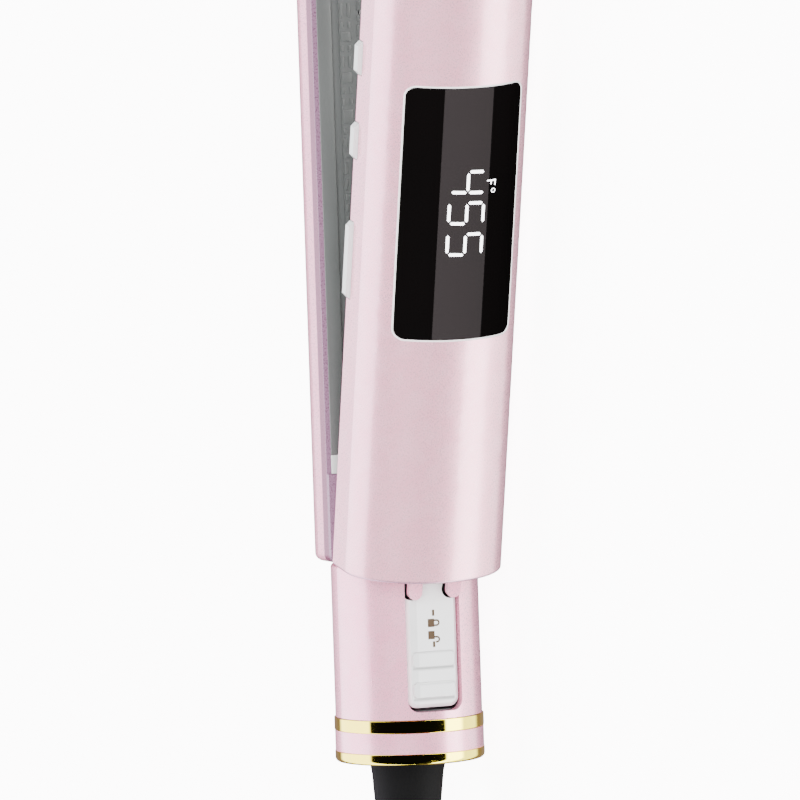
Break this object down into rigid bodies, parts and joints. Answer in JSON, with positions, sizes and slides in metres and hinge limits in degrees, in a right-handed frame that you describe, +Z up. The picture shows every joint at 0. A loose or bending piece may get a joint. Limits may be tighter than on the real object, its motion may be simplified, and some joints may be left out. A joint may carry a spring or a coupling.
{
  "type": "flat iron",
  "caption": "Hair flat iron with a hinged display arm, floating heating plates, side buttons, a locking slider and a swivel cord coiled for storage.",
  "frame": {"origin": "on the table, below the middle of the iron without its cord", "axes": "+X towards the tips of the arms, +Y from the display arm to the fixed arm, +Z up, along the hinge pin"},
  "size_m": [0.459, 0.102, 0.0364],
  "materials": {
    "pearl_shell": "pearl pink lacquer",
    "pearl_base": "pearl pink lacquer",
    "grey_cover": "satin grey moulding",
    "light_block": "satin light grey moulding",
    "black_glass": "glossy black",
    "gold": "polished gold plating",
    "white_plastic": "satin white",
    "button_plastic": "satin pale grey",
    "black_rubber": "satin black",
    "cord_sheath": "satin black",
    "plug_moulding": "matte black",
    "nickel": "bright nickel",
    "steel": "plain steel",
    "spring_steel": "blued spring steel",
    "plate_coating": "polished ceramic coating",
    "carrier_plastic": "heat-resistant black",
    "ceramic": "fired ceramic",
    "silicone": "red silicone",
    "circuit_board": "green solder mask",
    "display_part": "black moulding",
    "nylon": "black glass-filled nylon",
    "lead_sleeve": "white glass sleeve",
    "tie_strap": "black hook and loop strap"
  },
  "bodies": {
    "base_and_fixed_arm": {"fixed_arm_shell": "pearl_shell", "fixed_arm_tip_cap": "pearl_shell", "fixed_arm_inner_cover": "grey_cover", "fixed_arm_end_block": "light_block", "fixed_arm_screws": "steel", "fixed_arm_leads": "lead_sleeve", "fixed_plate_carrier": "carrier_plastic", "fixed_plate_pads": "silicone", "power_board": "circuit_board", "hinge_frame": "nylon", "hinge_pin": "steel", "hinge_washers": "steel", "frame_screws": "steel", "opening_spring": "spring_steel", "base_front_half": "pearl_base", "base_back_half": "pearl_base", "base_screws": "steel", "upper_gold_ring": "gold", "lower_gold_ring": "gold", "swivel_collar": "pearl_base", "swivel_socket": "nylon", "swivel_retainer": "steel", "power_cord": "cord_sheath", "power_cord_end": "cord_sheath", "cord_coil": "cord_sheath", "cord_tie": "tie_strap", "plug_body": "plug_moulding", "plug_blades": "nickel"},
    "display_arm": {"display_arm_shell": "pearl_shell", "display_arm_tip_cap": "pearl_shell", "display_arm_inner_cover": "grey_cover", "display_arm_end_block": "light_block", "display_arm_screws": "steel", "display_arm_leads": "lead_sleeve", "display_plate_carrier": "carrier_plastic", "display_plate_pads": "silicone", "display_window": "black_glass", "display_module": "display_part", "control_board": "circuit_board", "button_board": "circuit_board", "hinge_bracket": "steel", "bracket_screws": "steel", "lock_lugs": "pearl_base"},
    "fixed_plate_float": {"fixed_plate": "plate_coating", "fixed_heater": "ceramic", "fixed_heater_clip": "spring_steel"},
    "display_plate_float": {"display_plate": "plate_coating", "display_heater": "ceramic", "display_heater_clip": "spring_steel"},
    "plus_button": {"plus_button": "button_plastic"},
    "minus_button": {"minus_button": "button_plastic"},
    "power_button": {"power_button": "button_plastic"},
    "lock": {"lock_slider": "white_plastic", "lock_hook": "spring_steel"},
    "swivel": {"strain_relief": "black_rubber", "swivel_hub": "nylon"}
  },
  "joints": [
    {"name": "arm_hinge", "type": "hinge", "parent": "base_and_fixed_arm", "child": "display_arm", "pos_m": [-0.074, 0.02439, 0.0177], "axis": [0, 0, 1], "range_deg": [0, 12.1], "stiffness_Nm_per_rad": 1.2, "springref_deg": -14.32, "deforming": ["opening_spring"]},
    {"name": "fixed_plate_slide", "type": "slide", "parent": "base_and_fixed_arm", "child": "fixed_plate_float", "axis": [0, 1, 0], "range_m": [0, 0.0008], "stiffness_N_per_m": 6000, "springref_m": -0.0003, "deforming": ["fixed_plate_pads"]},
    {"name": "display_plate_slide", "type": "slide", "parent": "display_arm", "child": "display_plate_float", "axis": [-0.2096, -0.9778, 0], "range_m": [0, 0.0008], "stiffness_N_per_m": 6000, "springref_m": -0.0003, "deforming": ["display_plate_pads"]},
    {"name": "plus_press", "type": "slide", "parent": "display_arm", "child": "plus_button", "axis": [0, 0, -1], "range_m": [0, 0.0004], "stiffness_N_per_m": 5000, "springref_m": -0.0001},
    {"name": "minus_press", "type": "slide", "parent": "display_arm", "child": "minus_button", "axis": [0, 0, -1], "range_m": [0, 0.0004], "stiffness_N_per_m": 5000, "springref_m": -0.0001},
    {"name": "power_press", "type": "slide", "parent": "display_arm", "child": "power_button", "axis": [0, 0, -1], "range_m": [0, 0.0004], "stiffness_N_per_m": 5000, "springref_m": -0.0001},
    {"name": "lock_slide", "type": "slide", "parent": "base_and_fixed_arm", "child": "lock", "axis": [1, 0, 0], "range_m": [0, 0.0035]},
    {"name": "cord_swivel", "type": "hinge", "parent": "base_and_fixed_arm", "child": "swivel", "pos_m": [-0.118, 0.02739, 0.0177], "axis": [1, 0, 0], "continuous": true}
  ]
}
